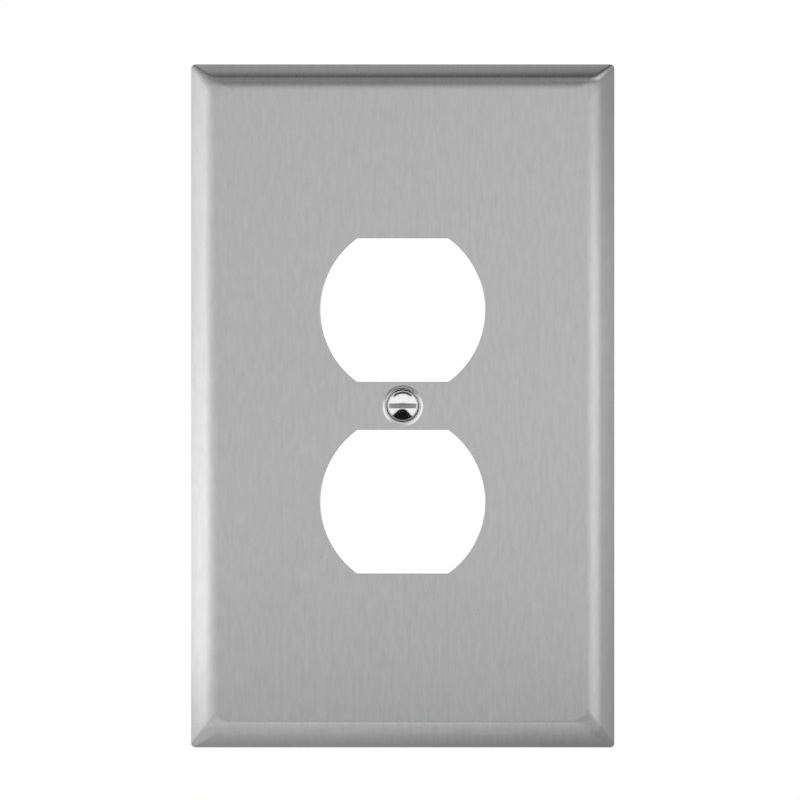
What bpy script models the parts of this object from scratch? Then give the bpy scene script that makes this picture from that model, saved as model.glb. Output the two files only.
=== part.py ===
"""Oversize one-gang wall plate for a duplex receptacle, with its captive mounting screw.

The wall plane is y = 0, the front faces -Y and +Z is up. The screw's axis is the Y axis, and it meets
the wall plane at the origin. Lengths are in metres.
"""
import math

import bmesh
import bpy
from mathutils import Matrix

# Stamped cover
PLATE_WIDTH = 0.0866
PLATE_HEIGHT = 0.1397
PLATE_DEPTH = 0.0056
SHEET = 0.0008
RIM_ANGLE = math.radians(61)             # slope of the crowned side walls at the rim, from the wall plane
ROLL_ANGLE = math.radians(50)            # their slope where the bend to the face begins
ROLL_RADIUS = 0.00425                    # outer bend between the side walls and the face
RIM_CORNERS = (0.0009, 0.0004)           # plan radius of the corners at the rim, outside and inside
FACE_CORNERS = (0.0029, 0.0021)          # and where the bend meets the face

# Outlet openings: two side arcs cut by two flats
OUTLET_WIDTH = 0.03345
OUTLET_ARC_RADIUS = 0.0180
OUTLET_FLATS = 0.0292
OUTLET_SPACING = 0.0389

# Screw seat pressed into the web between the openings
SEAT_HALF_ANGLE = math.radians(41)
DIMPLE_RADIUS = 0.00422                  # where the face starts to bend into the seat
DIMPLE_ROLL = 0.0008
SCREW_HOLE_RADIUS = 0.00225
DIMPLE_BACK = 0.0031                     # height of the punched lip's back above the wall plane

# 6-32 x 1/2 in slotted oval-head screw
HEAD_RADIUS = 0.00315
HEAD_PLANE = 0.00495                     # height of the head's widest plane above the wall plane
HEAD_LAND = 0.00012
DOME_HEIGHT = 0.0011
SLOT_WIDTH = 0.0009
SLOT_DEPTH = 0.0011
SLOT_REACH = 0.0028                      # from the axis to where the slot's floor comes out of the dome
NECK_RADIUS = 0.0012
SCREW_LENGTH = 0.0127
THREAD_PITCH = 0.0254 / 32
THREAD_MAJOR = 0.00350 / 2
THREAD_MINOR = 0.00264 / 2
THREAD_START = -0.00028                  # height of the thread's head end above the wall plane
THREAD_RUNOUT = 0.0001                   # plain core between the thread and the tip's chamfer
TIP_RADIUS = 0.00100
TIP_CHAMFER = 0.00035

# Retaining washer on the screw's neck
WASHER_RADIUS = 0.00375
WASHER_BORE = 0.0015
WASHER_THICKNESS = 0.0005
WASHER_BACK = 0.00002                    # height of the washer's back above the wall plane
WASHER_CHAMFER = 0.0001

# Facets
SIDE_STEPS = 3
ROLL_STEPS = 8
CORNER_STEPS = 6
OUTLET_ARC_STEPS = 36
DIMPLE_STEPS = 64
DIMPLE_ROLL_STEPS = 4
SCREW_STEPS = 32
DOME_STEPS = 5
SLOT_SAW_STEPS = 256
WASHER_STEPS = 48
CUT_MARGIN = 0.001                       # how far a cutter runs past what it cuts
SMOOTH_ANGLE = math.radians(35)
WELD = 1e-7


def clear_scene():
    for item in list(bpy.data.objects):
        bpy.data.objects.remove(item, do_unlink=True)


def make_material(name, color, metallic, roughness):
    material = bpy.data.materials.new(name)
    material.use_nodes = True
    shader = material.node_tree.nodes["Principled BSDF"]
    shader.inputs["Base Color"].default_value = (*color, 1.0)
    shader.inputs["Metallic"].default_value = metallic
    shader.inputs["Roughness"].default_value = roughness
    return material


def add_object(name, bm, material=None):
    """Turn a bmesh into a linked object with outward faces and smooth shading."""
    bmesh.ops.recalc_face_normals(bm, faces=bm.faces)
    mesh = bpy.data.meshes.new(name)
    bm.to_mesh(mesh)
    bm.free()
    mesh.shade_smooth()
    mesh.set_sharp_from_angle(angle=SMOOTH_ANGLE)
    if material is not None:
        mesh.materials.append(material)
    item = bpy.data.objects.new(name, mesh)
    bpy.context.scene.collection.objects.link(item)
    return item


def add_tool(name, bm):
    """A cutter or other guide, which isn't part of the object."""
    tool = add_object(name, bm)
    tool.hide_render = True
    tool.display_type = "WIRE"
    return tool


def apply_tool(item, tool, operation):
    modifier = item.modifiers.new(tool.name, "BOOLEAN")
    modifier.operation = operation
    modifier.solver = "EXACT"
    modifier.object = tool


def turned(profile, steps):
    """Turn (radius, height) points about the Z axis. An open profile starts and ends on the axis."""
    bm = bmesh.new()
    points = [bm.verts.new((radius, 0, height)) for radius, height in profile]
    if profile[0][0] > 0:
        points.append(points[0])
    edges = [bm.edges.new(pair) for pair in zip(points, points[1:])]
    geometry = list(dict.fromkeys(points)) + edges
    bmesh.ops.spin(bm, geom=geometry, cent=(0, 0, 0), axis=(0, 0, 1), angle=math.tau, steps=steps)
    bmesh.ops.remove_doubles(bm, verts=bm.verts, dist=WELD)
    return bm


# ---------------------------------------------------------------- cover plate

def plan_loop(bm, inset, y, corner):
    """A rounded rectangle parallel to the wall, inset from the rim's outer edge."""
    half_width = PLATE_WIDTH / 2 - inset - corner
    half_height = PLATE_HEIGHT / 2 - inset - corner
    loop = []
    for quarter, (side_x, side_z) in enumerate(((1, 1), (-1, 1), (-1, -1), (1, -1))):
        for step in range(CORNER_STEPS + 1):
            angle = (quarter + step / CORNER_STEPS) * math.pi / 2
            x = side_x * half_width + corner * math.cos(angle)
            z = side_z * half_height + corner * math.sin(angle)
            loop.append(bm.verts.new((x, y, z)))
    return loop


def skin_section(offset):
    """(inset, height above the wall) of one skin of the side wall, from the rim up to the face.

    offset is 0 for the outer skin and the sheet's thickness for the inner one. The side is a shallow
    arc and the bend a tight one, tangent to it and to the face, and both skins share their centres.
    """
    roll_rise = ROLL_RADIUS * (1 - math.cos(ROLL_ANGLE))
    side_radius = (PLATE_DEPTH - roll_rise) / (math.cos(ROLL_ANGLE) - math.cos(RIM_ANGLE))
    side_inset = side_radius * math.sin(RIM_ANGLE)
    side_height = -side_radius * math.cos(RIM_ANGLE)
    roll_inset = side_inset - (side_radius - ROLL_RADIUS) * math.sin(ROLL_ANGLE)
    roll_height = PLATE_DEPTH - ROLL_RADIUS
    rim_angle = math.acos(-side_height / (side_radius - offset))
    section = []
    for step in range(SIDE_STEPS):
        angle = rim_angle + (ROLL_ANGLE - rim_angle) * step / SIDE_STEPS
        inset = side_inset - (side_radius - offset) * math.sin(angle)
        section.append((inset, side_height + (side_radius - offset) * math.cos(angle)))
    for step in range(ROLL_STEPS + 1):
        angle = ROLL_ANGLE * (1 - step / ROLL_STEPS)
        inset = roll_inset - (ROLL_RADIUS - offset) * math.sin(angle)
        section.append((inset, roll_height + (ROLL_RADIUS - offset) * math.cos(angle)))
    return section


def bridge(bm, loop_a, loop_b):
    count = len(loop_a)
    for i in range(count):
        j = (i + 1) % count
        bm.faces.new((loop_a[i], loop_a[j], loop_b[j], loop_b[i]))


def pressed_shell():
    """The plate as pressed, before it is punched. Its corners open out from the rim to the face."""
    bm = bmesh.new()
    rims = []
    for offset, rim_corner, face_corner in zip((0.0, SHEET), RIM_CORNERS, FACE_CORNERS):
        section = skin_section(offset)
        rim_inset = section[0][0]
        face_inset = section[-1][0]
        loops = []
        for inset, height in section:
            share = (inset - rim_inset) / (face_inset - rim_inset)
            corner = rim_corner + (face_corner - rim_corner) * share
            loops.append(plan_loop(bm, inset, -height, corner))
        for lower, upper in zip(loops, loops[1:]):
            bridge(bm, lower, upper)
        bm.faces.new(loops[-1])
        rims.append(loops[0])
    bridge(bm, *rims)
    return bm


def outlet_punch(centre_z):
    """A block with the outline of one outlet opening."""
    past_middle = OUTLET_ARC_RADIUS - OUTLET_WIDTH / 2       # of each side arc's centre
    half_arc = math.asin(OUTLET_FLATS / 2 / OUTLET_ARC_RADIUS)
    bm = bmesh.new()
    outline = []
    for side in (1, -1):
        for step in range(OUTLET_ARC_STEPS + 1):
            angle = half_arc * (2 * step / OUTLET_ARC_STEPS - 1)
            x = side * (OUTLET_ARC_RADIUS * math.cos(angle) - past_middle)
            z = centre_z + side * OUTLET_ARC_RADIUS * math.sin(angle)
            outline.append(bm.verts.new((x, -PLATE_DEPTH - CUT_MARGIN, z)))
    face = bm.faces.new(outline)
    extruded = bmesh.ops.extrude_face_region(bm, geom=[face])
    moved = [item for item in extruded["geom"] if isinstance(item, bmesh.types.BMVert)]
    bmesh.ops.translate(bm, verts=moved, vec=(0, PLATE_DEPTH + 2 * CUT_MARGIN, 0))
    return bm


def seat_boss():
    """The metal that the press pushes back behind the web, as a plug whose hole is cut later."""
    slope = math.tan(SEAT_HALF_ANGLE)
    top = PLATE_DEPTH - SHEET / 2
    back_plane = PLATE_DEPTH - SHEET
    top_radius = DIMPLE_RADIUS + (top - back_plane) * slope
    lip_radius = DIMPLE_RADIUS - (back_plane - DIMPLE_BACK) * slope
    return turned([(0, top), (top_radius, top), (lip_radius, DIMPLE_BACK), (0, DIMPLE_BACK)], DIMPLE_STEPS)


def seat_punch():
    """The room in front of and inside the screw seat: rounded shoulder, cone and hole."""
    bend = math.pi / 2 - SEAT_HALF_ANGLE
    shoulder = []
    for step in range(DIMPLE_ROLL_STEPS + 1):
        angle = bend * step / DIMPLE_ROLL_STEPS
        radius = DIMPLE_RADIUS - DIMPLE_ROLL * math.sin(angle)
        shoulder.append((radius, PLATE_DEPTH - DIMPLE_ROLL * (1 - math.cos(angle))))
    (first_radius, first_height), (next_radius, next_height) = shoulder[:2]
    lift = CUT_MARGIN / 10
    entry_radius = first_radius + lift * (first_radius - next_radius) / (first_height - next_height)
    top = PLATE_DEPTH + CUT_MARGIN
    last_radius, last_height = shoulder[-1]
    lip_height = last_height - (last_radius - SCREW_HOLE_RADIUS) / math.tan(SEAT_HALF_ANGLE)
    bottom = DIMPLE_BACK - CUT_MARGIN
    profile = [(0, top), (entry_radius, top), (entry_radius, PLATE_DEPTH + lift)]
    profile += shoulder[1:]
    profile += [(SCREW_HOLE_RADIUS, lip_height), (SCREW_HOLE_RADIUS, bottom), (0, bottom)]
    return turned(profile, DIMPLE_STEPS)


def make_cover_plate(screw_axis):
    steel = make_material("brushed_stainless", (0.60, 0.60, 0.60), 1.0, 0.36)
    plate = add_object("cover_plate", pressed_shell(), steel)
    boss = add_tool("seat_boss_guide", seat_boss())
    boss.parent = screw_axis
    apply_tool(plate, boss, "UNION")
    punch = add_tool("seat_punch_cutter", seat_punch())
    punch.parent = screw_axis
    apply_tool(plate, punch, "DIFFERENCE")
    for label, side in (("upper", 1), ("lower", -1)):
        cutter = add_tool(label + "_outlet_cutter", outlet_punch(side * OUTLET_SPACING / 2))
        apply_tool(plate, cutter, "DIFFERENCE")


# ---------------------------------------------------------------- mounting screw

def screw_ring(bm, radius, height):
    ring = []
    for step in range(SCREW_STEPS):
        angle = math.tau * step / SCREW_STEPS
        ring.append(bm.verts.new((radius * math.cos(angle), radius * math.sin(angle), height)))
    return ring


def helix_point(bm, step, rise, ridge, low):
    """A point of the thread: step along the helix, rise in pitches, ridge from 0 (root) to 1 (crest)."""
    angle = math.tau * step / SCREW_STEPS
    radius = THREAD_MINOR + ridge * (THREAD_MAJOR - THREAD_MINOR)
    height = low + THREAD_PITCH * (step / SCREW_STEPS + rise)
    return bm.verts.new((radius * math.cos(angle), radius * math.sin(angle), height))


def add_thread(bm, lower_ring, upper_ring, low, high):
    """A right-hand thread between two rings, whose ridge fades out at both ends."""
    turns = int((high - low) / THREAD_PITCH) - 1
    length = turns * SCREW_STEPS
    fade = SCREW_STEPS / 2
    crest_start, crest_end, root_start = 5 / 16, 7 / 16, 12 / 16
    roots = [helix_point(bm, step, 0, 0, low) for step in range(length + SCREW_STEPS + 1)]
    rows = []
    for step in range(length + 1):
        ridge = min(1, step / fade, (length - step) / fade)
        row = [roots[step]]
        row.append(helix_point(bm, step, crest_start, ridge, low))
        row.append(helix_point(bm, step, crest_end, ridge, low))
        row.append(helix_point(bm, step, root_start, 0, low))
        row.append(roots[step + SCREW_STEPS])
        rows.append(row)
    for row, following in zip(rows, rows[1:]):
        for k in range(len(row) - 1):
            bm.faces.new((row[k], following[k], following[k + 1], row[k + 1]))
    last = SCREW_STEPS - 1
    for step in range(last):
        bm.faces.new((lower_ring[step], lower_ring[step + 1], roots[step + 1], roots[step]))
    bm.faces.new((lower_ring[last], lower_ring[0], *rows[0], roots[last]))
    for step in range(1, SCREW_STEPS):
        ends = (upper_ring[(step + 1) % SCREW_STEPS], upper_ring[step])
        bm.faces.new((roots[length + step], roots[length + step + 1], *ends))
    bm.faces.new((roots[length + 1], upper_ring[1], upper_ring[0], *reversed(rows[-1])))


def screw_blank():
    """The screw along Z, its head's widest plane at z = 0 and its tip down, before it is slotted."""
    cone_length = (HEAD_RADIUS - NECK_RADIUS) / math.tan(SEAT_HALF_ANGLE)
    thread_high = THREAD_START - HEAD_PLANE
    thread_low = -SCREW_LENGTH + TIP_CHAMFER + THREAD_RUNOUT
    neck_end = thread_high + TIP_CHAMFER / 2
    dome_radius = (HEAD_RADIUS ** 2 + DOME_HEIGHT ** 2) / (2 * DOME_HEIGHT)
    dome_angle = math.asin(HEAD_RADIUS / dome_radius)

    bm = bmesh.new()
    tip = screw_ring(bm, TIP_RADIUS, -SCREW_LENGTH)
    shank = screw_ring(bm, THREAD_MINOR, -SCREW_LENGTH + TIP_CHAMFER)
    shoulder = screw_ring(bm, THREAD_MINOR, thread_high)
    rings = [shoulder, screw_ring(bm, NECK_RADIUS, neck_end)]
    rings.append(screw_ring(bm, NECK_RADIUS, -HEAD_LAND - cone_length))
    rings.append(screw_ring(bm, HEAD_RADIUS, -HEAD_LAND))
    for step in range(DOME_STEPS):
        angle = dome_angle * (1 - step / DOME_STEPS)
        height = DOME_HEIGHT - dome_radius * (1 - math.cos(angle))
        rings.append(screw_ring(bm, dome_radius * math.sin(angle), height))
    bm.faces.new(tip)
    bridge(bm, tip, shank)
    add_thread(bm, shank, shoulder, thread_low, thread_high)
    for lower, upper in zip(rings, rings[1:]):
        bridge(bm, lower, upper)
    apex = bm.verts.new((0, 0, DOME_HEIGHT))
    top_ring = rings[-1]
    for step in range(SCREW_STEPS):
        bm.faces.new((top_ring[step], top_ring[(step + 1) % SCREW_STEPS], apex))
    return bm


def slot_saw():
    """The round saw that plunges into the dome and cuts a slot that ends short of the head's edge."""
    dome_radius = (HEAD_RADIUS ** 2 + DOME_HEIGHT ** 2) / (2 * DOME_HEIGHT)
    floor = DOME_HEIGHT - SLOT_DEPTH
    exit_rise = DOME_HEIGHT - dome_radius + math.sqrt(dome_radius ** 2 - SLOT_REACH ** 2) - floor
    saw_radius = (SLOT_REACH ** 2 + exit_rise ** 2) / (2 * exit_rise)
    half = SLOT_WIDTH / 2
    bm = turned([(0, half), (saw_radius, half), (saw_radius, -half), (0, -half)], SLOT_SAW_STEPS)
    bmesh.ops.rotate(bm, verts=bm.verts, matrix=Matrix.Rotation(math.pi / 2, 3, "X"))
    bmesh.ops.translate(bm, verts=bm.verts, vec=(0, 0, floor + saw_radius))
    return bm


def make_mounting_screw(screw_axis):
    polished = make_material("polished_steel", (0.80, 0.80, 0.80), 1.0, 0.12)
    screw = add_object("mounting_screw", screw_blank(), polished)
    screw.parent = screw_axis
    screw.location.z = HEAD_PLANE
    cutter = add_tool("slot_saw_cutter", slot_saw())
    cutter.parent = screw
    apply_tool(screw, cutter, "DIFFERENCE")


# ---------------------------------------------------------------- retaining washer

def make_retaining_washer(screw_axis):
    nylon = make_material("natural_nylon", (0.82, 0.80, 0.73), 0.0, 0.45)
    half = WASHER_THICKNESS / 2
    inner = WASHER_BORE + WASHER_CHAMFER
    outer = WASHER_RADIUS - WASHER_CHAMFER
    edge = half - WASHER_CHAMFER
    profile = [(inner, half), (outer, half), (WASHER_RADIUS, edge), (WASHER_RADIUS, -edge)]
    profile += [(outer, -half), (inner, -half), (WASHER_BORE, -edge), (WASHER_BORE, edge)]
    washer = add_object("retaining_washer", turned(profile, WASHER_STEPS), nylon)
    washer.parent = screw_axis
    washer.location.z = WASHER_BACK + half


def main():
    clear_scene()
    screw_axis = bpy.data.objects.new("screw_axis", None)
    bpy.context.scene.collection.objects.link(screw_axis)
    screw_axis.rotation_euler.x = math.pi / 2        # the axis empty's +Z looks out of the wall
    make_cover_plate(screw_axis)
    make_mounting_screw(screw_axis)
    make_retaining_washer(screw_axis)


main()
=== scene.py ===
import math

import bmesh
import bpy
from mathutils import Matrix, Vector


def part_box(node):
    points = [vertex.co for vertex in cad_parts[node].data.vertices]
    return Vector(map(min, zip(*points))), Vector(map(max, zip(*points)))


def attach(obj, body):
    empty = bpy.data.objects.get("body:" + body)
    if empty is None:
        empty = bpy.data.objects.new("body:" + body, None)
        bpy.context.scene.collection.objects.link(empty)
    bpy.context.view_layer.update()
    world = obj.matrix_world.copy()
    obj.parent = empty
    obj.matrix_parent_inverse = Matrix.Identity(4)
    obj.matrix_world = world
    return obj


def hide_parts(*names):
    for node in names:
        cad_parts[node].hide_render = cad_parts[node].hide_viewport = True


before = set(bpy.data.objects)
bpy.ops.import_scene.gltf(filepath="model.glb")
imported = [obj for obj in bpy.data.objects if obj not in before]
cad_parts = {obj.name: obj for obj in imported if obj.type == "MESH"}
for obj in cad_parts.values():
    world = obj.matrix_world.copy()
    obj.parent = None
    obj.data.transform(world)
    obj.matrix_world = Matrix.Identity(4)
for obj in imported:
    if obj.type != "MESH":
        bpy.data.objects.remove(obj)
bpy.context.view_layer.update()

COVER_LOW, COVER_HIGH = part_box("cover_plate")
SCREW_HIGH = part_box("mounting_screw")[1]
WASHER_LOW, WASHER_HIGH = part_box("retaining_washer")

# Stamped cover, in metres: the wall plane is y = 0 and the front faces -Y
PLATE_WIDTH = COVER_HIGH.x - COVER_LOW.x
PLATE_HEIGHT = COVER_HIGH.z - COVER_LOW.z
PLATE_DEPTH = -COVER_LOW.y
SHEET = 0.0008
RIM_ANGLE = math.radians(61)             # slope of the crowned side walls at the rim
ROLL_ANGLE = math.radians(50)            # their slope where the bend to the face begins
ROLL_RADIUS = 0.00425                    # outer bend between the side walls and the face
RIM_CORNERS = (0.0009, 0.0004)           # plan radius of the corners at the rim, outside and inside
FACE_CORNERS = (0.0029, 0.0021)          # and where the bend meets the face
RIM_ROUNDING = 0.00005                   # broken outer edge of the rim

# Outlet openings
OUTLET_WIDTH = 0.03345
OUTLET_ARC_RADIUS = 0.0180
OUTLET_FLATS = 0.0292
OUTLET_SPACING = 0.0389
PUNCH_ROLL = 0.00016                     # rounding that the punch leaves on the front edge
PUNCH_BREAK = 0.00005                    # broken edge at the back

# Screw seat
SEAT_HALF_ANGLE = math.radians(41)
DIMPLE_RADIUS = 0.00422                  # where the face starts to bend into the seat
DIMPLE_ROLL = 0.0008
SCREW_HOLE_RADIUS = 0.00225
DIMPLE_BACK = 0.0031                     # height of the punched lip's back above the wall plane
LIP_ROUNDING = 0.0001

# 6-32 x 1/2 in slotted oval-head screw
SCREW_LENGTH = 0.0127
HEAD_RADIUS = SCREW_HIGH.x
HEAD_PLANE = SCREW_LENGTH - SCREW_HIGH.y    # height of the head's widest plane above the wall plane
HEAD_LAND = 0.00012
DOME_HEIGHT = 0.0011
DOME_RADIUS = (HEAD_RADIUS ** 2 + DOME_HEIGHT ** 2) / (2 * DOME_HEIGHT)
SLOT_WIDTH = 0.0009
SLOT_REACH = 0.0028                      # to where the slot's curved floor comes out of the dome
SLOT_EDGE = 0.00007                      # rounding of the slot's upper edges
NECK_RADIUS = 0.0012
CONE_ROWS = (0.33, 0.66, 1.0)            # rows of points along the head's cone, as shares of its length
THREAD_PITCH = 0.0254 / 32
THREAD_MAJOR = 0.00350 / 2
THREAD_MINOR = 0.00264 / 2
THREAD_START = -0.00028                  # height of the thread's head end, from the wall plane
THREAD_HIGH = THREAD_START - HEAD_PLANE  # and from the head's widest plane
THREAD_RUNOUT = 0.0001                   # plain core between the thread and the tip's chamfer
THREAD_RIDGE = (                         # (share of the pitch, share of the depth) over one ridge
    (3 / 16, 0.55), (5 / 16, 0.97), (6 / 16, 1.0), (7 / 16, 0.97), (9 / 16, 0.55), (12 / 16, 0.0),
)
TIP_RADIUS = 0.00100
TIP_CHAMFER = 0.00035

# Retaining washer
WASHER_RADIUS = WASHER_HIGH.x
WASHER_BORE = 0.0015                     # radius of its hole
WASHER_THICKNESS = WASHER_HIGH.y - WASHER_LOW.y
WASHER_BACK = -WASHER_HIGH.y
WASHER_ROUNDING = 0.00015

# Facets
SIDE_STEPS = 14
ROLL_STEPS = 28
CORNER_STEPS = 16
ARC_STEPS = 96
EDGE_STEPS = 5
DIMPLE_STEPS = 128
SLOT_END_STEPS = 4
SOLID_DOME_STEPS = 8                     # between the head's edge and the slot's end, on each side
HALF_DOME_STEPS = 44
DOME_ROWS = 14
SCREW_STEPS = 2 * (SLOT_END_STEPS + HALF_DOME_STEPS)
WASHER_STEPS = 96
SMOOTH_ANGLE = math.radians(38)
NORMAL_WEIGHT = 80
WELD = 1e-8

# Looks: grey levels, and noise waves to the metre along each axis
STEEL_GREY = 0.6
STEEL_ROUGHNESS = 0.27
TONE_DEPTH = 0.6                         # how far the tones of the noise change the grey
GRAIN_DEPTH = 0.18
GRAIN_WAVES = (1150, 0, 280)
STREAK_WAVES = (800, 0, 30)
CLOUD_WAVES = (45, 45, 45)
SPECK_WAVES = (9000, 9000, 9000)
STEEL_BUMP = 0.000002
PRESSED_SHEEN_GAIN = 0.12                      # the pressed seat is smoother than the face, and a painted sheen makes it brighter
PRESSED_ROUGHNESS = 0.22
PRESSED_CLOUD_WAVES = (600, 600, 600)
# Painted shade on the seat round the screw's head, also rougher there, as (from, to, value there, value
# there): its edge by the distance from the screw's axis, then its strength by the height up the plate,
# round the axis and near the seat's top
SEAT_SHADE_EDGE = (0.00346, 0.00326, 0.0, 1.0)
SEAT_SHADE_BELOW = (-0.0008, 0.0008, 0.52, 0.12)
SEAT_SHADE_TOP = (0.0024, 0.0032, 0.0, 0.80)
POLISHED_GREY = 0.80
POLISHED_ROUGHNESS = 0.12
# painted shade down in the screw's slot and at its thread's root
SLOT_PAINTED_SHADE = -0.47
ROOT_PAINTED_SHADE = -0.25
TURNED_WAVES = 9000.0
TURNED_BUMP = 0.0000008
POLISHED_CLOUD_WAVES = (500, 500, 500)
POLISHED_SPECK_WAVES = (7000, 7000, 7000)
NYLON_COLOUR = (0.82, 0.80, 0.73)
NYLON_ROUGHNESS = 0.45
NYLON_BUMP = 0.00001
NYLON_CLOUD_WAVES = (700, 700, 700)
NYLON_SPECK_WAVES = (12000, 12000, 12000)

# Camera, floor and the radius of each sphere of light
CAMERA_PLACE = (-0.00055, -0.765, 0.0012)
CAMERA_LENS = 168.4
SENSOR_WIDTH = 36.0
NEAR_CLIP = 0.01
TENT_RADIUS = 0.40
SCREW_TENT_RADIUS = 0.42
SEAT_TENT_RADIUS = 0.44
TENT_SEGMENTS = 180
TENT_RINGS = 120
FLOOR_HEIGHT = -0.30
FLOOR_RADIUS = 1.6
FLOOR_FADE = (FLOOR_RADIUS * 0.3, FLOOR_RADIUS * 0.95, 1.0, 0.0)    # (from, to, opacity, opacity)
FLOOR_STEPS = 96
FLOOR_GREY = (0.86, 0.86, 0.86, 1.0)
WHITE = (1.0, 1.0, 1.0, 1.0)


# ---------------------------------------------------------------- meshes

def add_piece(name, bm, material_list):
    """Turn a bmesh in the row frame into a smooth-shaded object."""
    bmesh.ops.remove_doubles(bm, verts=bm.verts, dist=WELD)
    bmesh.ops.recalc_face_normals(bm, faces=bm.faces)
    mesh = bpy.data.meshes.new(name)
    bm.to_mesh(mesh)
    bm.free()
    mesh.shade_smooth()
    mesh.set_sharp_from_angle(angle=SMOOTH_ANGLE)
    for material in material_list:
        mesh.materials.append(material)
    item = bpy.data.objects.new(name, mesh)
    bpy.context.scene.collection.objects.link(item)
    weighted = item.modifiers.new("weighted_normals", "WEIGHTED_NORMAL")
    weighted.keep_sharp = True
    weighted.weight = NORMAL_WEIGHT
    return item


def add_loop(bm, points, layer=None, value=0.0):
    """A new vertex at each point, with the value in the layer where one is given."""
    loop = [bm.verts.new(point) for point in points]
    if layer is not None:
        for vert in loop:
            vert[layer] = value
    return loop


def bridge(bm, loop_a, loop_b):
    count = len(loop_a)
    for i in range(count):
        j = (i + 1) % count
        bm.faces.new((loop_a[i], loop_a[j], loop_b[j], loop_b[i]))


def bridge_all(bm, loops):
    for lower, upper in zip(loops, loops[1:]):
        bridge(bm, lower, upper)


def loop_edges(bm, loop):
    return [bm.edges.get(pair) for pair in zip(loop, loop[1:] + loop[:1])]


def circle(radius, height, steps):
    """Points round the screw's axis, at that height in front of the wall plane."""
    points = []
    for step in range(steps):
        angle = math.tau * step / steps
        points.append((radius * math.cos(angle), -height, radius * math.sin(angle)))
    return points


# ---------------------------------------------------------------- cover plate

def rounded_rectangle(inset, height, corner):
    """The plate's outline moved inwards, at that height, with corners of that radius."""
    half_width = PLATE_WIDTH / 2 - inset - corner
    half_height = PLATE_HEIGHT / 2 - inset - corner
    points = []
    for quarter, (side_x, side_z) in enumerate(((1, 1), (-1, 1), (-1, -1), (1, -1))):
        for step in range(CORNER_STEPS + 1):
            angle = (quarter + step / CORNER_STEPS) * math.pi / 2
            x = side_x * half_width + corner * math.cos(angle)
            z = side_z * half_height + corner * math.sin(angle)
            points.append((x, -height, z))
    return points


def skin_section(offset):
    """(inset, height) of one skin of the side wall, from the rim up to the face."""
    roll_rise = ROLL_RADIUS * (1 - math.cos(ROLL_ANGLE))
    side_radius = (PLATE_DEPTH - roll_rise) / (math.cos(ROLL_ANGLE) - math.cos(RIM_ANGLE))
    side_inset = side_radius * math.sin(RIM_ANGLE)
    side_height = -side_radius * math.cos(RIM_ANGLE)
    roll_inset = side_inset - (side_radius - ROLL_RADIUS) * math.sin(ROLL_ANGLE)
    roll_height = PLATE_DEPTH - ROLL_RADIUS
    rim_angle = math.acos(-side_height / (side_radius - offset))
    section = []
    for step in range(SIDE_STEPS):
        angle = rim_angle + (ROLL_ANGLE - rim_angle) * step / SIDE_STEPS
        inset = side_inset - (side_radius - offset) * math.sin(angle)
        section.append((inset, side_height + (side_radius - offset) * math.cos(angle)))
    for step in range(ROLL_STEPS + 1):
        angle = ROLL_ANGLE * (1 - step / ROLL_STEPS)
        inset = roll_inset - (ROLL_RADIUS - offset) * math.sin(angle)
        section.append((inset, roll_height + (ROLL_RADIUS - offset) * math.cos(angle)))
    return section


def rim_rounding():
    """(inset, height) round the rim's outer edge, from the wall plane to the side wall."""
    turn = math.pi - RIM_ANGLE
    inset = RIM_ROUNDING / math.tan(RIM_ANGLE / 2)
    points = []
    for step in range(EDGE_STEPS):
        angle = turn * step / (EDGE_STEPS - 1)
        points.append((inset - RIM_ROUNDING * math.sin(angle), RIM_ROUNDING * (1 - math.cos(angle))))
    return points


def outlet_outline(centre_z, grow, height):
    """An outlet opening: an arc on each side, joined by the flats above and below."""
    past_middle = OUTLET_ARC_RADIUS - OUTLET_WIDTH / 2
    radius = OUTLET_ARC_RADIUS + grow
    half_arc = math.asin((OUTLET_FLATS / 2 + grow) / radius)
    points = []
    for side in (1, -1):
        for step in range(ARC_STEPS + 1):
            angle = half_arc * (2 * step / ARC_STEPS - 1)
            x = side * (radius * math.cos(angle) - past_middle)
            points.append((x, -height, centre_z + side * radius * math.sin(angle)))
    return points


def outlet_section():
    """(growth of the outline, height, wear) down the wall of an outlet opening."""
    section = []
    for step in range(EDGE_STEPS + 1):
        angle = math.pi / 2 * step / EDGE_STEPS
        grow = PUNCH_ROLL * (1 - math.sin(angle))
        section.append((grow, PLATE_DEPTH - PUNCH_ROLL * (1 - math.cos(angle)), math.sin(2 * angle)))
    back = PLATE_DEPTH - SHEET
    section.append((0.0, back + PUNCH_BREAK, 0.0))
    section.append((PUNCH_BREAK, back, 0.0))
    return section


def seat_section():
    """(radius, height) of the screw seat, from the face through the hole to the back."""
    bend = math.pi / 2 - SEAT_HALF_ANGLE
    section = []
    steps = 2 * EDGE_STEPS
    for step in range(steps + 1):
        angle = bend * step / steps
        radius = DIMPLE_RADIUS - DIMPLE_ROLL * math.sin(angle)
        section.append((radius, PLATE_DEPTH - DIMPLE_ROLL * (1 - math.cos(angle))))
    last_radius, last_height = section[-1]
    slope = math.tan(SEAT_HALF_ANGLE)
    lip_height = last_height - (last_radius - SCREW_HOLE_RADIUS) / slope
    for share in (0.25, 0.5, 0.75):
        radius = last_radius + (SCREW_HOLE_RADIUS - last_radius) * share
        section.append((radius, last_height - (last_radius - radius) / slope))
    section.append((SCREW_HOLE_RADIUS + LIP_ROUNDING, lip_height + LIP_ROUNDING / slope))
    section.append((SCREW_HOLE_RADIUS + LIP_ROUNDING / 4, lip_height))
    section.append((SCREW_HOLE_RADIUS, lip_height - LIP_ROUNDING))
    section.append((SCREW_HOLE_RADIUS, DIMPLE_BACK))
    back = PLATE_DEPTH - SHEET
    section.append((DIMPLE_RADIUS - (back - DIMPLE_BACK) * slope, DIMPLE_BACK))
    section.append((DIMPLE_RADIUS, back))
    return section


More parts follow.
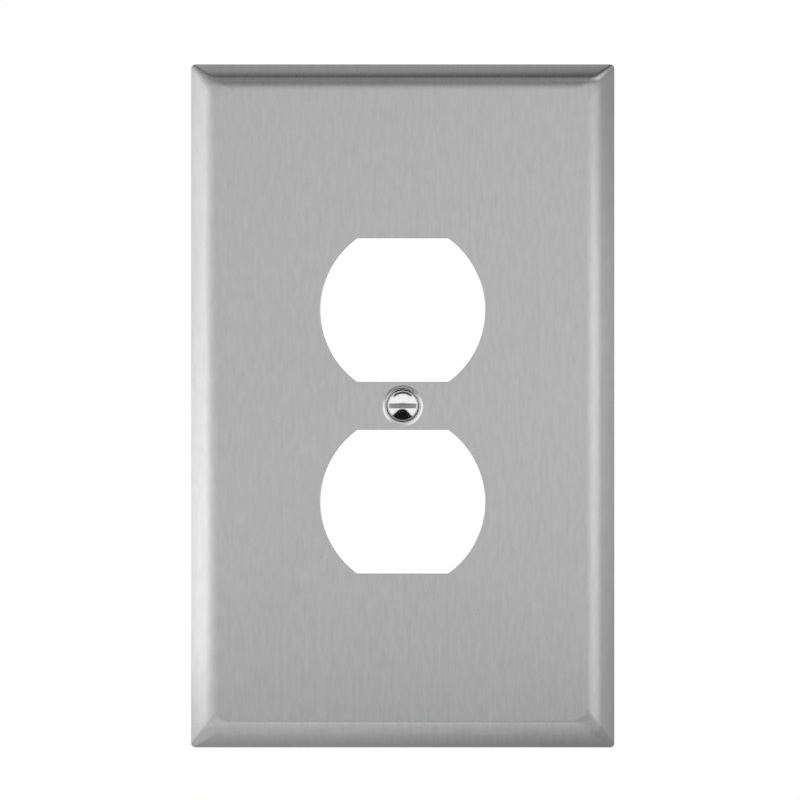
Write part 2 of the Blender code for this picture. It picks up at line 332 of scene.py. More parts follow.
def skin_loops(skin):
    """The outlines of one skin, 0 outside and 1 inside, whose corners open out from the rim to the face."""
    section = skin_section(skin * SHEET)
    rim_inset = section[0][0]
    face_inset = section[-1][0]
    outlines = []
    for inset, height in section:
        share = (inset - rim_inset) / (face_inset - rim_inset)
        corner = RIM_CORNERS[skin] + (FACE_CORNERS[skin] - RIM_CORNERS[skin]) * share
        outlines.append(rounded_rectangle(inset, height, corner))
    return outlines


def make_cover(material):
    bm = bmesh.new()
    wear = bm.verts.layers.float.new("wear")
    loops = [add_loop(bm, outline) for outline in reversed(skin_loops(1))]
    for inset, height in rim_rounding():
        loops.append(add_loop(bm, rounded_rectangle(inset, height, RIM_CORNERS[0]), wear, 1.0))
    loops += [add_loop(bm, outline) for outline in skin_loops(0)[1:]]
    bridge_all(bm, loops)
    back_edges = loop_edges(bm, loops[0])
    front_edges = loop_edges(bm, loops[-1])
    for side in (1, -1):
        centre = side * OUTLET_SPACING / 2
        walls = []
        for grow, height, worn in outlet_section():
            walls.append(add_loop(bm, outlet_outline(centre, grow, height), wear, worn))
        bridge_all(bm, walls)
        front_edges += loop_edges(bm, walls[0])
        back_edges += loop_edges(bm, walls[-1])
    section = seat_section()
    for (radius, height), edges in ((section[0], front_edges), (section[-1], back_edges)):
        ring = add_loop(bm, circle(radius, height, DIMPLE_STEPS))
        for pair in zip(ring, ring[1:] + ring[:1]):
            edges.append(bm.edges.new(pair))
    bmesh.ops.triangle_fill(bm, edges=front_edges, use_beauty=True, normal=(0, -1, 0))
    bmesh.ops.triangle_fill(bm, edges=back_edges, use_beauty=True, normal=(0, 1, 0))
    plate = add_piece("brushed_cover", bm, [material])
    flat_map = plate.data.uv_layers.new(name="grain")
    for loop in plate.data.loops:
        place = plate.data.vertices[loop.vertex_index].co
        flat_map.data[loop.index].uv = (place.x / PLATE_WIDTH + 0.5, place.z / PLATE_HEIGHT + 0.5)
    return plate


def make_seat(material):
    """The screw seat pressed into the web, which carries on from the cover's front and back."""
    bm = bmesh.new()
    section = seat_section()
    bend = bm.verts.layers.float.new("bend")
    rings = []
    for index, (radius, height) in enumerate(section):
        rings.append(add_loop(bm, circle(radius, height, DIMPLE_STEPS), bend, min(1.0, index / 3)))
    for vert in rings[-1]:
        vert[bend] = 0.0
    bridge_all(bm, rings)
    return add_piece("pressed_seat", bm, [material])


# ---------------------------------------------------------------- mounting screw

def half_dome_angles():
    """Rim angles of the columns of one half dome, with a column where the slot comes out on each side."""
    first = math.asin((SLOT_WIDTH / 2 + SLOT_EDGE) / HEAD_RADIUS)
    slot_end = math.acos(SLOT_REACH / HEAD_RADIUS)
    inner = HALF_DOME_STEPS // 2 - SOLID_DOME_STEPS
    angles = [first + (slot_end - first) * step / SOLID_DOME_STEPS for step in range(SOLID_DOME_STEPS)]
    angles += [slot_end + (math.pi / 2 - slot_end) * step / inner for step in range(inner)]
    return angles + [math.pi / 2] + [math.pi - angle for angle in reversed(angles)]


def rim_angles():
    """Angles of the points round the head's rim: the two half domes and the short arcs between them."""
    half = half_dome_angles()
    angles = []
    for middle in (0.0, math.pi):
        angles += [middle + half[0] * (2 * step / SLOT_END_STEPS - 1) for step in range(SLOT_END_STEPS)]
        angles += [middle + angle for angle in half[:-1]]
    return angles


def screw_point(x, y, z):
    """From the screw's own axes, +Z along its axis from the head's widest plane, to the row frame."""
    return (x, -(z + HEAD_PLANE), y)


def screw_ring(bm, radius, height):
    points = [screw_point(radius * math.cos(a), radius * math.sin(a), height) for a in rim_angles()]
    return add_loop(bm, points)


def dome_height(x, y):
    """Height of the head's dome above the head's widest plane."""
    return DOME_HEIGHT - DOME_RADIUS + math.sqrt(DOME_RADIUS ** 2 - x * x - y * y)


def slot_floor(x, y):
    """Height inside the slot, whose floor is an arc that comes out of the dome at SLOT_REACH."""
    rise = dome_height(SLOT_REACH, SLOT_WIDTH / 2)
    saw_radius = (SLOT_REACH ** 2 + rise ** 2) / (2 * rise)
    return min(dome_height(x, y), saw_radius - math.sqrt(saw_radius ** 2 - x * x))


def half_dome(bm, side, slot_layer):
    """One side of the domed head, down over the slot's rounded edge and out to the middle of its floor."""
    edge = SLOT_WIDTH / 2
    start = edge + SLOT_EDGE
    columns = []
    for angle in half_dome_angles():
        x = HEAD_RADIUS * math.cos(angle)
        rim = HEAD_RADIUS * math.sin(angle)
        column = []
        for row in range(DOME_ROWS + 1):
            y = rim + (start - rim) * row / DOME_ROWS
            column.append(bm.verts.new(screw_point(x, side * y, dome_height(x, y))))
        depth = dome_height(x, edge) - slot_floor(x, edge)
        drop = min(SLOT_EDGE, depth / 2)
        in_slot = min(1.0, depth / SLOT_EDGE)
        for row in range(1, EDGE_STEPS):
            turn = math.pi / 2 * row / (EDGE_STEPS - 1)
            y = start - SLOT_EDGE * math.sin(turn)
            height = dome_height(x, y) - drop * (1 - math.cos(turn))
            column.append(bm.verts.new(screw_point(x, side * y, height)))
        column[-1][slot_layer] = 0.5 * in_slot
        for share in (1.0, 0.5, 0.0):
            y = share * edge
            foot = bm.verts.new(screw_point(x, side * y, slot_floor(x, y)))
            foot[slot_layer] = in_slot
            column.append(foot)
        columns.append(column)
    for left, right in zip(columns, columns[1:]):
        for k in range(len(left) - 1):
            bm.faces.new((left[k], right[k], right[k + 1], left[k + 1]))


def helix_point(bm, step, rise, ridge, low, root_layer):
    """A point of the thread that many steps round, and that share of the pitch up and of the depth out."""
    angle = math.tau * step / SCREW_STEPS
    radius = THREAD_MINOR + ridge * (THREAD_MAJOR - THREAD_MINOR)
    height = low + THREAD_PITCH * (step / SCREW_STEPS + rise)
    vert = bm.verts.new(screw_point(radius * math.cos(angle), radius * math.sin(angle), height))
    vert[root_layer] = 1.0 - ridge
    return vert


def add_thread(bm, lower_ring, upper_ring, low, high, root_layer):
    """A right-hand thread between two rings, whose ridge fades out at both ends."""
    turns = int((high - low) / THREAD_PITCH) - 1
    length = turns * SCREW_STEPS
    fade_steps = SCREW_STEPS / 2
    count = length + SCREW_STEPS + 1
    roots = [helix_point(bm, step, 0, 0, low, root_layer) for step in range(count)]
    rows = []
    for step in range(length + 1):
        ridge = min(1, step / fade_steps, (length - step) / fade_steps)
        row = [roots[step]]
        for rise, share in THREAD_RIDGE:
            row.append(helix_point(bm, step, rise, ridge * share, low, root_layer))
        row.append(roots[step + SCREW_STEPS])
        rows.append(row)
    for row, following in zip(rows, rows[1:]):
        for k in range(len(row) - 1):
            bm.faces.new((row[k], following[k], following[k + 1], row[k + 1]))
    last = SCREW_STEPS - 1
    for step in range(last):
        bm.faces.new((lower_ring[step], lower_ring[step + 1], roots[step + 1], roots[step]))
    bm.faces.new((lower_ring[last], lower_ring[0], *rows[0], roots[last]))
    for step in range(1, SCREW_STEPS):
        ends = (upper_ring[(step + 1) % SCREW_STEPS], upper_ring[step])
        bm.faces.new((roots[length + step], roots[length + step + 1], *ends))
    bm.faces.new((roots[length + 1], upper_ring[1], upper_ring[0], *reversed(rows[-1])))


def close_slot_end(bm, rim, side, first):
    """The sliver between the head's rim and the end of the slot's two edges, on one side."""
    x = HEAD_RADIUS * math.cos(half_dome_angles()[0])
    edge = SLOT_WIDTH / 2
    chord = []
    for step in range(1, EDGE_STEPS):
        turn = math.pi / 2 * step / (EDGE_STEPS - 1)
        chord.append(edge + SLOT_EDGE * (1 - math.sin(turn)))
    chord += [edge / 2, 0.0, -edge / 2] + [-y for y in reversed(chord)]
    points = [screw_point(side * x, side * y, dome_height(x, y)) for y in chord]
    arc = [rim[(first + k) % SCREW_STEPS] for k in range(SLOT_END_STEPS + 1)]
    bm.faces.new((*arc, *add_loop(bm, points)))


def make_screw(material):
    """The slotted dome, then the cone, neck and thread down to the chamfered tip."""
    cone_length = (HEAD_RADIUS - NECK_RADIUS) / math.tan(SEAT_HALF_ANGLE)
    thread_low = -SCREW_LENGTH + TIP_CHAMFER + THREAD_RUNOUT
    bm = bmesh.new()
    slot_layer = bm.verts.layers.float.new("slot")
    root_layer = bm.verts.layers.float.new("root")
    half_dome(bm, 1, slot_layer)
    half_dome(bm, -1, slot_layer)
    rings = [screw_ring(bm, HEAD_RADIUS, 0.0), screw_ring(bm, HEAD_RADIUS, -HEAD_LAND)]
    for share in CONE_ROWS:
        radius = HEAD_RADIUS + (NECK_RADIUS - HEAD_RADIUS) * share
        rings.append(screw_ring(bm, radius, -HEAD_LAND - cone_length * share))
    rings.append(screw_ring(bm, NECK_RADIUS, THREAD_HIGH + TIP_CHAMFER / 2))
    shoulder = screw_ring(bm, THREAD_MINOR, THREAD_HIGH)
    rings.append(shoulder)
    bridge_all(bm, rings)
    close_slot_end(bm, rings[0], 1, 0)
    close_slot_end(bm, rings[0], -1, SLOT_END_STEPS + HALF_DOME_STEPS)
    shank = screw_ring(bm, THREAD_MINOR, -SCREW_LENGTH + TIP_CHAMFER)
    tip = screw_ring(bm, TIP_RADIUS, -SCREW_LENGTH)
    bridge(bm, tip, shank)
    bm.faces.new(tip)
    add_thread(bm, shank, shoulder, thread_low, THREAD_HIGH, root_layer)
    return add_piece("polished_screw", bm, [material])


# ---------------------------------------------------------------- retaining washer

def make_washer(material):
    """A ring whose section is a rectangle with rounded corners."""
    front = WASHER_BACK + WASHER_THICKNESS - WASHER_ROUNDING
    back = WASHER_BACK + WASHER_ROUNDING
    outer = WASHER_RADIUS - WASHER_ROUNDING
    inner = WASHER_BORE + WASHER_ROUNDING
    centres = ((outer, front), (outer, back), (inner, back), (inner, front))
    section = []
    for quarter, (radius, height) in enumerate(centres):
        for step in range(EDGE_STEPS):
            angle = math.pi / 2 * (1 - quarter - step / (EDGE_STEPS - 1))
            point = (radius + WASHER_ROUNDING * math.cos(angle), height + WASHER_ROUNDING * math.sin(angle))
            section.append(point)
    bm = bmesh.new()
    rings = [add_loop(bm, circle(r, h, WASHER_STEPS)) for r, h in section]
    bridge_all(bm, rings + rings[:1])
    return add_piece("nylon_washer", bm, [material])


# ---------------------------------------------------------------- materials

def add_node(tree, kind, settings=None, inputs=None):
    made = tree.nodes.new(kind)
    for name, value in (settings or {}).items():
        setattr(made, name, value)
    for name, value in (inputs or {}).items():
        if isinstance(value, bpy.types.NodeSocket):
            tree.links.new(value, made.inputs[name])
        else:
            made.inputs[name].default_value = value
    return made


def new_material(name):
    material = bpy.data.materials.new(name)
    material.use_nodes = True
    return material, material.node_tree, material.node_tree.nodes["Principled BSDF"]


def stretched_noise(tree, scale, detail):
    """Noise in object coordinates, with its own scale along each axis, as a value round 0."""
    place = add_node(tree, "ShaderNodeTexCoord").outputs["Object"]
    mapped = add_node(tree, "ShaderNodeMapping", None, {"Vector": place, "Scale": scale})
    inputs = {"Vector": mapped.outputs[0], "Scale": 1.0, "Detail": detail}
    noise = add_node(tree, "ShaderNodeTexNoise", None, inputs)
    return add_math(tree, "SUBTRACT", noise.outputs["Fac"], 0.5)


def add_math(tree, operation, *values):
    inputs = dict(enumerate(values))
    return add_node(tree, "ShaderNodeMath", {"operation": operation}, inputs).outputs[0]


def attribute(tree, name):
    return add_node(tree, "ShaderNodeAttribute", {"attribute_name": name}).outputs["Fac"]


def mix_values(tree, factor, low, high):
    return add_node(tree, "ShaderNodeMix", {"data_type": "FLOAT"}, {0: factor, 2: low, 3: high}).outputs[0]


def grey(tree, value):
    """The value as a colour."""
    return add_node(tree, "ShaderNodeCombineColor", None, {0: value, 1: value, 2: value}).outputs[0]


def brushed_stainless():
    """Steel with fine vertical brushing, which stretches what it mirrors across the plate."""
    material, tree, shader = new_material("brushed_stainless_look")
    fine = stretched_noise(tree, GRAIN_WAVES, 1.0)
    streak = stretched_noise(tree, STREAK_WAVES, 2.0)
    cloud = stretched_noise(tree, CLOUD_WAVES, 3.0)
    speck = stretched_noise(tree, SPECK_WAVES, 1.0)
    wear = attribute(tree, "wear")
    tone = add_math(tree, "MULTIPLY", fine, GRAIN_DEPTH)
    tone = add_math(tree, "MULTIPLY_ADD", streak, 0.025, tone)
    tone = add_math(tree, "MULTIPLY_ADD", cloud, 0.02, tone)
    tone = add_math(tree, "MULTIPLY_ADD", speck, 0.01, tone)
    value = add_math(tree, "MULTIPLY_ADD", tone, TONE_DEPTH, STEEL_GREY)
    value = add_math(tree, "MULTIPLY_ADD", wear, 0.05, value)
    tree.links.new(grey(tree, value), shader.inputs["Base Color"])
    rough = add_math(tree, "MULTIPLY_ADD", streak, 0.10, STEEL_ROUGHNESS)
    rough = add_math(tree, "MULTIPLY_ADD", cloud, 0.05, rough)
    rough = add_math(tree, "MULTIPLY_ADD", wear, -0.03, rough)
    tree.links.new(rough, shader.inputs["Roughness"])
    ridges = add_math(tree, "MULTIPLY_ADD", streak, 1.5, fine)
    inputs = {"Strength": 0.5, "Distance": STEEL_BUMP, "Height": ridges}
    bump = add_node(tree, "ShaderNodeBump", None, inputs)
    tree.links.new(bump.outputs[0], shader.inputs["Normal"])
    tangent = add_node(tree, "ShaderNodeTangent", {"direction_type": "UV_MAP", "uv_map": "grain"})
    tree.links.new(tangent.outputs[0], shader.inputs["Tangent"])
    shader.inputs["Metallic"].default_value = 1.0
    shader.inputs["Anisotropic"].default_value = 0.9
    return material


def axis_radius(tree):
    """Distance from the screw's axis and the three object coordinates."""
    place = add_node(tree, "ShaderNodeTexCoord").outputs["Object"]
    split = add_node(tree, "ShaderNodeSeparateXYZ", None, {0: place}).outputs
    flat = add_node(tree, "ShaderNodeCombineXYZ", None, {0: split[0], 1: split[2]})
    radius = add_node(tree, "ShaderNodeVectorMath", {"operation": "LENGTH"}, {0: flat.outputs[0]})
    return radius.outputs["Value"], split


def smooth_range(tree, value, low, high, to_low, to_high):
    """to_low where the value is at low, to_high where it is at high and smooth between them."""
    inputs = {"Value": value, 1: low, 2: high, 3: to_low, 4: to_high}
    return add_node(tree, "ShaderNodeMapRange", {"interpolation_type": "SMOOTHSTEP"}, inputs).outputs[0]


def pressed_stainless():
    """The cover's steel where the press has burnished it, brightened by a painted sheen, with painted shade
    and more roughness down by the screw's head.
    """
    material, tree, shader = new_material("pressed_stainless_look")
    fine = stretched_noise(tree, GRAIN_WAVES, 1.0)
    cloud = stretched_noise(tree, PRESSED_CLOUD_WAVES, 3.0)
    speck = stretched_noise(tree, SPECK_WAVES, 1.0)
    bend = attribute(tree, "bend")
    brushed = add_math(tree, "SUBTRACT", 1.0, bend)
    radius, split = axis_radius(tree)
    # painted shade: the seat's grey is darkened in the gap round the screw's head, more below and near its
    # top, and it is rougher there
    painted_shade = smooth_range(tree, radius, *SEAT_SHADE_EDGE)
    strength = smooth_range(tree, split[2], *SEAT_SHADE_BELOW)
    strength = add_math(tree, "ADD", strength, smooth_range(tree, split[2], *SEAT_SHADE_TOP))
    painted_shade = add_math(tree, "MULTIPLY", painted_shade, strength)
    tone = add_math(tree, "MULTIPLY", fine, GRAIN_DEPTH)
    tone = add_math(tree, "MULTIPLY", tone, brushed)
    tone = add_math(tree, "MULTIPLY_ADD", cloud, 0.06, tone)
    tone = add_math(tree, "MULTIPLY_ADD", speck, 0.03, tone)
    value = add_math(tree, "MULTIPLY_ADD", tone, TONE_DEPTH, STEEL_GREY)
    # painted sheen: the grey is raised where the seat bends
    value = add_math(tree, "MULTIPLY_ADD", bend, PRESSED_SHEEN_GAIN, value)
    # the painted shade darkens the grey here
    value = add_math(tree, "MULTIPLY", value, add_math(tree, "SUBTRACT", 1.0, painted_shade))
    tree.links.new(grey(tree, value), shader.inputs["Base Color"])
    rough = mix_values(tree, bend, STEEL_ROUGHNESS, PRESSED_ROUGHNESS)
    rough = add_math(tree, "MULTIPLY_ADD", painted_shade, 0.15, rough)
    rough = add_math(tree, "MULTIPLY_ADD", cloud, 0.06, rough)
    tree.links.new(rough, shader.inputs["Roughness"])
    inputs = {"Strength": 0.4, "Distance": STEEL_BUMP, "Height": cloud}
    bump = add_node(tree, "ShaderNodeBump", None, inputs)
    tree.links.new(bump.outputs[0], shader.inputs["Normal"])
    shader.inputs["Metallic"].default_value = 1.0
    return material


def polished_steel():
    """Bright steel with faint turned rings, rougher and darkened by painted shade down in the slot and at
    the thread's root.
    """
    material, tree, shader = new_material("polished_steel_look")
    radius, split = axis_radius(tree)
    across = add_node(tree, "ShaderNodeCombineXYZ", None, {0: radius, 1: split[1]})
    inputs = {"Vector": across.outputs[0], "Scale": TURNED_WAVES, "Detail": 2.0}
    rings = add_node(tree, "ShaderNodeTexNoise", None, inputs).outputs["Fac"]
    cloud = stretched_noise(tree, POLISHED_CLOUD_WAVES, 3.0)
    speck = stretched_noise(tree, POLISHED_SPECK_WAVES, 2.0)
    slot = attribute(tree, "slot")
    root = attribute(tree, "root")
    value = add_math(tree, "MULTIPLY_ADD", cloud, 0.06, POLISHED_GREY)
    value = add_math(tree, "MULTIPLY_ADD", speck, 0.04, value)
    # painted shade: the grey is darkened down in the slot and at the thread's root
    value = add_math(tree, "MULTIPLY_ADD", slot, SLOT_PAINTED_SHADE, value)
    value = add_math(tree, "MULTIPLY_ADD", root, ROOT_PAINTED_SHADE, value)
    tree.links.new(grey(tree, value), shader.inputs["Base Color"])
    rough = add_math(tree, "MULTIPLY_ADD", cloud, 0.08, POLISHED_ROUGHNESS)
    rough = add_math(tree, "MULTIPLY_ADD", slot, 0.22, rough)
    rough = add_math(tree, "MULTIPLY_ADD", root, 0.12, rough)
    tree.links.new(rough, shader.inputs["Roughness"])
    inputs = {"Strength": 0.35, "Distance": TURNED_BUMP, "Height": rings}
    bump = add_node(tree, "ShaderNodeBump", None, inputs)
    tree.links.new(bump.outputs[0], shader.inputs["Normal"])
    shader.inputs["Metallic"].default_value = 1.0
    return material


def natural_nylon():
    """Off-white nylon with a slightly rough skin."""
    material, tree, shader = new_material("natural_nylon_look")
    cloud = stretched_noise(tree, NYLON_CLOUD_WAVES, 3.0)
    speck = stretched_noise(tree, NYLON_SPECK_WAVES, 2.0)
    tone = add_math(tree, "MULTIPLY_ADD", cloud, 0.10, 1.0)
    tone = add_math(tree, "MULTIPLY_ADD", speck, 0.05, tone)
    inputs = {0: NYLON_COLOUR, "Scale": tone}
    colour = add_node(tree, "ShaderNodeVectorMath", {"operation": "SCALE"}, inputs)
    tree.links.new(colour.outputs[0], shader.inputs["Base Color"])
    rough = add_math(tree, "MULTIPLY_ADD", cloud, 0.15, NYLON_ROUGHNESS)
    tree.links.new(rough, shader.inputs["Roughness"])
    inputs = {"Strength": 0.3, "Distance": NYLON_BUMP, "Height": speck}
    bump = add_node(tree, "ShaderNodeBump", None, inputs)
    tree.links.new(bump.outputs[0], shader.inputs["Normal"])
    return material


# ---------------------------------------------------------------- light, floor and camera

# Angles are in degrees: from straight ahead of the plate, or round the view from its right to its top.
# Brightness of the cover's tent by the angle from straight ahead, towards each side
TENT_RIGHT = (
    (0, 0.69), (5, 0.665), (9, 0.66), (13, 0.70), (18, 0.80), (25, 0.94), (33, 1.08), (42, 1.20),
    (50, 1.24), (60, 1.18), (73, 1.02), (82, 0.84), (91, 0.70), (100, 0.61), (105, 0.57), (113, 0.53),
    (118, 0.50), (180, 0.70),
)
TENT_UP = (
    (0, 0.69), (10, 0.715), (17, 0.725), (25, 0.70), (30, 0.66), (35, 0.61), (39, 0.55), (44, 0.48),
    (48, 0.40), (53, 0.33), (58, 0.27), (64, 0.245), (70, 0.265), (79, 0.315), (85, 0.30),
    (91, 0.24), (96, 0.19), (101, 0.07), (104, 0.14), (108, 0.43), (117, 0.43), (180, 0.70),
)
TENT_LEFT = (
    (0, 0.69), (8, 0.69), (14, 0.70), (20, 0.72), (30, 0.77), (38, 0.83), (45, 0.88), (52, 0.97),
    (60, 1.11), (68, 1.26), (76, 1.42), (84, 1.54), (91, 1.60), (100, 1.59), (107, 1.50), (114, 1.30),
    (120, 1.18), (180, 0.70),
)
TENT_DOWN = (
    (0, 0.69), (4, 0.685), (7, 0.65), (10, 0.645), (13, 0.655), (15, 0.63), (17, 0.47), (19, 0.24),
    (21, 0.42), (23, 0.74), (26, 0.87), (30, 0.89), (36, 0.83), (44, 0.73), (61, 0.67), (78, 0.62),
    (96, 0.57), (104, 0.52), (110, 0.44), (117, 0.37), (180, 0.70),
)
# How the light from the sides changes with the angle above or below, and from below with the angle aside.
# These reach their full effect at FALL_REACH from straight ahead.
FALL_REACH = 40
RIGHT_FALL = (
    (-40, 0.55), (-27, 0.57), (-17, 0.64), (-14.5, 0.78), (-10.5, 0.87), (-4, 0.94), (4, 1.0), (8, 0.91),
    (11, 0.78), (15, 0.68), (27, 0.66), (40, 0.72),
)
LEFT_FALL = (
    (-40, 0.48), (-26, 0.57), (-17, 0.57), (-15, 0.58), (-14, 0.64), (-13, 0.78), (-12, 0.95),
    (-10, 1.02), (-4, 1.01), (4, 0.87), (8, 0.87), (11, 0.87), (14, 0.80), (27, 0.75), (40, 0.74),
    (60, 0.40),
)
DOWN_FALL = ((-15, 1.03), (-6, 1.06), (0, 1.0), (5.7, 0.88), (8, 0.74), (12, 0.63), (20, 0.56), (30, 0.54))
# Patches of the cover's tent that its mitred corners mirror: (direction round the view, half width,
# angle from straight ahead, half height, brightness). An edge fades between these shares of the half width.
PATCH_EDGE = (0.6, 1.4)
MITRE_PATCHES = (
    (56, 9, 80, 7.5, 1.34),
    (69, 9, 107, 9, 0.06),
    (45, 12, 47, 8, 0.84),
    (151, 11, 57, 8, 0.92),
    (158, 6, 110, 8, 0.82),
    (211, 10, 109, 13, 0.50),
    (212, 14, 56, 9, 0.80),
    (310, 14, 33, 12, 0.38),
    (307, 12, 25, 5, 0.22),
)
# The screw's tent: its brightness ahead and away from there, and where the one fades into the other
SCREW_FRONT = 0.75
SCREW_LIGHT = 1.08
SCREW_FADE = (9, 20)
# A black card below: its middle, where its sides and foot fade out, and its top by the angle from there
CARD_LEVEL = 0.01
CARD_MIDDLE = -92.5
CARD_SIDES = (42, 48)
CARD_FOOT = (66, 73)
CARD_TOP = ((0, 9), (20, 10.5), (30, 13), (38, 16), (42, 20), (45, 27), (47, 40), (50, 66))
CARD_TOP_FADE = (-3, 3)
# A dark strip high up
STRIP_LEVEL = 0.04
STRIP_MIDDLE = 91
STRIP_SIDES = (34, 52)
STRIP_NEAR = (54, 61)
STRIP_FAR = (92, 100)
# Dim light beyond the card, round its middle
LOW_LEVEL = 0.12
LOW_SIDES = (30, 75)
LOW_NEAR = (62, 72)
# The seat's tent: its brightness ahead, where it starts to change, and how soon it is dark or light
SEAT_FRONT = 0.72
SEAT_START = 1
SEAT_DARK_REACH = 9
SEAT_LIGHT_REACH = 28
# what its lowest part shows
SEAT_BELOW = 0.90
SEAT_BELOW_NEAR = (55, 75)
SEAT_BELOW_SIDES = (25, 55)
# and its brightness round the view
SEAT_SIDES = (
    (0, 1.15), (22, 1.28), (40, 1.18), (56, 0.60), (72, 0.50), (92, 0.62), (108, 0.95), (125, 1.22),
    (180, 1.25), (202, 1.05), (216, 0.55), (232, 0.33), (255, 0.26), (292, 0.25), (318, 0.29), (336, 0.46),
    (350, 0.95), (360, 1.15),
)


def lookup(table, value):
    """Read a table of (value, result) pairs, straight between them and level past its ends."""
    for (low, low_value), (high, high_value) in zip(table, table[1:]):
        if value <= high:
            share = max(0.0, (value - low) / (high - low))
            return low_value + (high_value - low_value) * share
    return table[-1][1]


def fade(low, high, value):
    """0 below low, 1 above high and smooth between them."""
    share = max(0.0, min(1.0, (value - low) / (high - low)))
    return share * share * (3 - 2 * share)


def turn_between(a, b):
    """The angle between two directions, at most 180 degrees."""
    return abs((a - b + 180) % 360 - 180)


def angle_towards(share):
    """Degrees out of a plane, for a unit vector whose part along the plane's normal is that share."""
    return math.degrees(math.asin(max(-1.0, min(1.0, share))))


def view_angles(direction):
    """Degrees from straight ahead of the plate, and round the view from the right towards the top."""
    x, y, z = direction
    return 90 - angle_towards(-y), math.degrees(math.atan2(z, x))


def tent_glow(direction):
    """Brightness of the cover's tent seen in a direction from the plate."""
    polar, around = view_angles(direction)
    aside = angle_towards(direction[0])
    above = angle_towards(direction[2])
    off_centre = min(1.0, polar / FALL_REACH)
    falls = (lookup(RIGHT_FALL, above), 1.0, lookup(LEFT_FALL, above), lookup(DOWN_FALL, aside))
    glow = 0.0
    for index, table in enumerate((TENT_RIGHT, TENT_UP, TENT_LEFT, TENT_DOWN)):
        share = max(0.0, math.cos(math.radians(around - index * 90))) ** 2
        gain = 1.0 + (falls[index] - 1.0) * off_centre
        glow += share * gain * lookup(table, polar)
    for middle, half_width, height, half_height, level in MITRE_PATCHES:
        cover = 1 - fade(*PATCH_EDGE, turn_between(around, middle) / half_width)
        cover *= 1 - fade(*PATCH_EDGE, abs(polar - height) / half_height)
        glow += (level - glow) * cover
    return glow


def screw_tent_glow(direction):
    """Brightness of the screw's tent: bright, with a dark card below and a dark strip high up."""
    polar, around = view_angles(direction)
    from_card = turn_between(around, CARD_MIDDLE)
    from_strip = turn_between(around, STRIP_MIDDLE)
    glow = SCREW_FRONT + (SCREW_LIGHT - SCREW_FRONT) * fade(*SCREW_FADE, polar)
    card = fade(*CARD_TOP_FADE, polar - lookup(CARD_TOP, from_card))
    card *= (1 - fade(*CARD_FOOT, polar)) * (1 - fade(*CARD_SIDES, from_card))
    strip = fade(*STRIP_NEAR, polar) * (1 - fade(*STRIP_FAR, polar)) * (1 - fade(*STRIP_SIDES, from_strip))
    low = fade(*LOW_NEAR, polar) * (1 - fade(*LOW_SIDES, from_card))
    glow += (LOW_LEVEL - glow) * low
    glow += (CARD_LEVEL - glow) * card
    glow += (STRIP_LEVEL - glow) * strip
    return glow


def seat_tent_glow(direction):
    """Brightness of the seat's tent. The seat is hollow, so its upper part mirrors what is below."""
    polar, around = view_angles(direction)
    side = lookup(SEAT_SIDES, around % 360)
    reach = SEAT_DARK_REACH if side < SEAT_FRONT else SEAT_LIGHT_REACH
    glow = SEAT_FRONT + (side - SEAT_FRONT) * fade(SEAT_START, reach, polar)
    below = fade(*SEAT_BELOW_NEAR, polar) * (1 - fade(*SEAT_BELOW_SIDES, turn_between(around, -90)))
    return glow + (SEAT_BELOW - glow) * below


def make_tent(name, radius, glow_at, receivers):
    """A sphere of light that only the receivers reflect. The camera and diffuse light don't see it."""
    bm = bmesh.new()
    bmesh.ops.create_uvsphere(bm, u_segments=TENT_SEGMENTS, v_segments=TENT_RINGS, radius=1.0)
    glow = bm.verts.layers.float.new("glow")
    for vert in bm.verts:
        vert[glow] = glow_at(vert.co)
    bmesh.ops.scale(bm, verts=bm.verts, vec=(radius,) * 3)
    mesh = bpy.data.meshes.new(name)
    bm.to_mesh(mesh)
    bm.free()
    material = bpy.data.materials.new(name)
    material.use_nodes = True
    tree = material.node_tree
    tree.nodes.clear()
    level = attribute(tree, "glow")
    emission = add_node(tree, "ShaderNodeEmission", None, {"Strength": level})
    clear = add_node(tree, "ShaderNodeBsdfTransparent")
    both = add_node(tree, "ShaderNodeAddShader", None, {0: emission.outputs[0], 1: clear.outputs[0]})
    add_node(tree, "ShaderNodeOutputMaterial", None, {"Surface": both.outputs[0]})
    material.cycles.emission_sampling = "NONE"
    mesh.materials.append(material)
    tent = bpy.data.objects.new(name, mesh)
    bpy.context.scene.collection.objects.link(tent)
    tent.visible_camera = False
    tent.visible_diffuse = False
    tent.visible_shadow = False
    lit = bpy.data.collections.new(name + "_receivers")
    for item in receivers:
        lit.objects.link(item)
    tent.light_linking.receiver_collection = lit


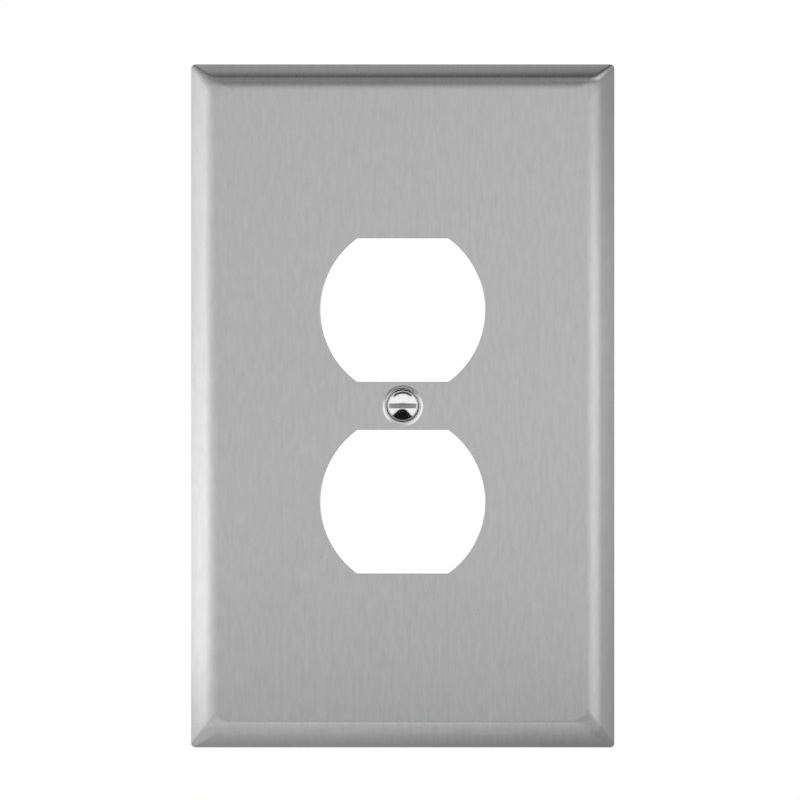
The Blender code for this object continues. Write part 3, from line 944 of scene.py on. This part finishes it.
def make_floor():
    """A pale round floor that fades into the white background."""
    bm = bmesh.new()
    bmesh.ops.create_circle(bm, cap_ends=True, segments=FLOOR_STEPS, radius=FLOOR_RADIUS)
    bmesh.ops.translate(bm, verts=bm.verts, vec=(0, 0, FLOOR_HEIGHT))
    mesh = bpy.data.meshes.new("pale_floor")
    bm.to_mesh(mesh)
    bm.free()
    material, tree, shader = new_material("pale_floor")
    shader.inputs["Base Color"].default_value = FLOOR_GREY
    shader.inputs["Roughness"].default_value = 0.9
    place = add_node(tree, "ShaderNodeTexCoord").outputs["Object"]
    flat = add_node(tree, "ShaderNodeVectorMath", {"operation": "MULTIPLY"}, {0: place, 1: (1, 1, 0)})
    far = add_node(tree, "ShaderNodeVectorMath", {"operation": "LENGTH"}, {0: flat.outputs[0]})
    shown = smooth_range(tree, far.outputs["Value"], *FLOOR_FADE)
    tree.links.new(shown, shader.inputs["Alpha"])
    mesh.materials.append(material)
    floor = bpy.data.objects.new("pale_floor", mesh)
    bpy.context.scene.collection.objects.link(floor)
    floor.visible_glossy = False


def make_world():
    """A white studio whose light falls on everything, but which metal doesn't mirror."""
    scene = bpy.context.scene
    scene.view_settings.view_transform = "Standard"
    world = bpy.data.worlds.new("white_studio")
    world.use_nodes = True
    background = world.node_tree.nodes["Background"]
    background.inputs["Color"].default_value = WHITE
    background.inputs["Strength"].default_value = 1.0
    scene.world = world
    world.cycles_visibility.glossy = False


def make_camera():
    data = bpy.data.cameras.new("camera")
    data.lens = CAMERA_LENS
    data.sensor_width = SENSOR_WIDTH
    data.clip_start = NEAR_CLIP
    camera = bpy.data.objects.new("camera", data)
    camera.location = CAMERA_PLACE
    camera.rotation_euler = (math.pi / 2, 0.0, 0.0)
    bpy.context.scene.collection.objects.link(camera)
    bpy.context.scene.camera = camera


def main():
    cover = make_cover(brushed_stainless())
    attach(cover, "plate")
    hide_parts("cover_plate")
    seat = make_seat(pressed_stainless())
    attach(seat, "plate")
    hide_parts("cover_plate")
    screw = make_screw(polished_steel())
    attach(screw, "screw")
    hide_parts("mounting_screw")
    washer = make_washer(natural_nylon())
    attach(washer, "washer")
    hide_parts("retaining_washer")
    make_tent("light_tent", TENT_RADIUS, tent_glow, (cover, washer))
    make_tent("screw_light_tent", SCREW_TENT_RADIUS, screw_tent_glow, (screw,))
    make_tent("seat_light_tent", SEAT_TENT_RADIUS, seat_tent_glow, (seat,))
    make_floor()
    make_world()
    make_camera()
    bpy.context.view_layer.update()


main()
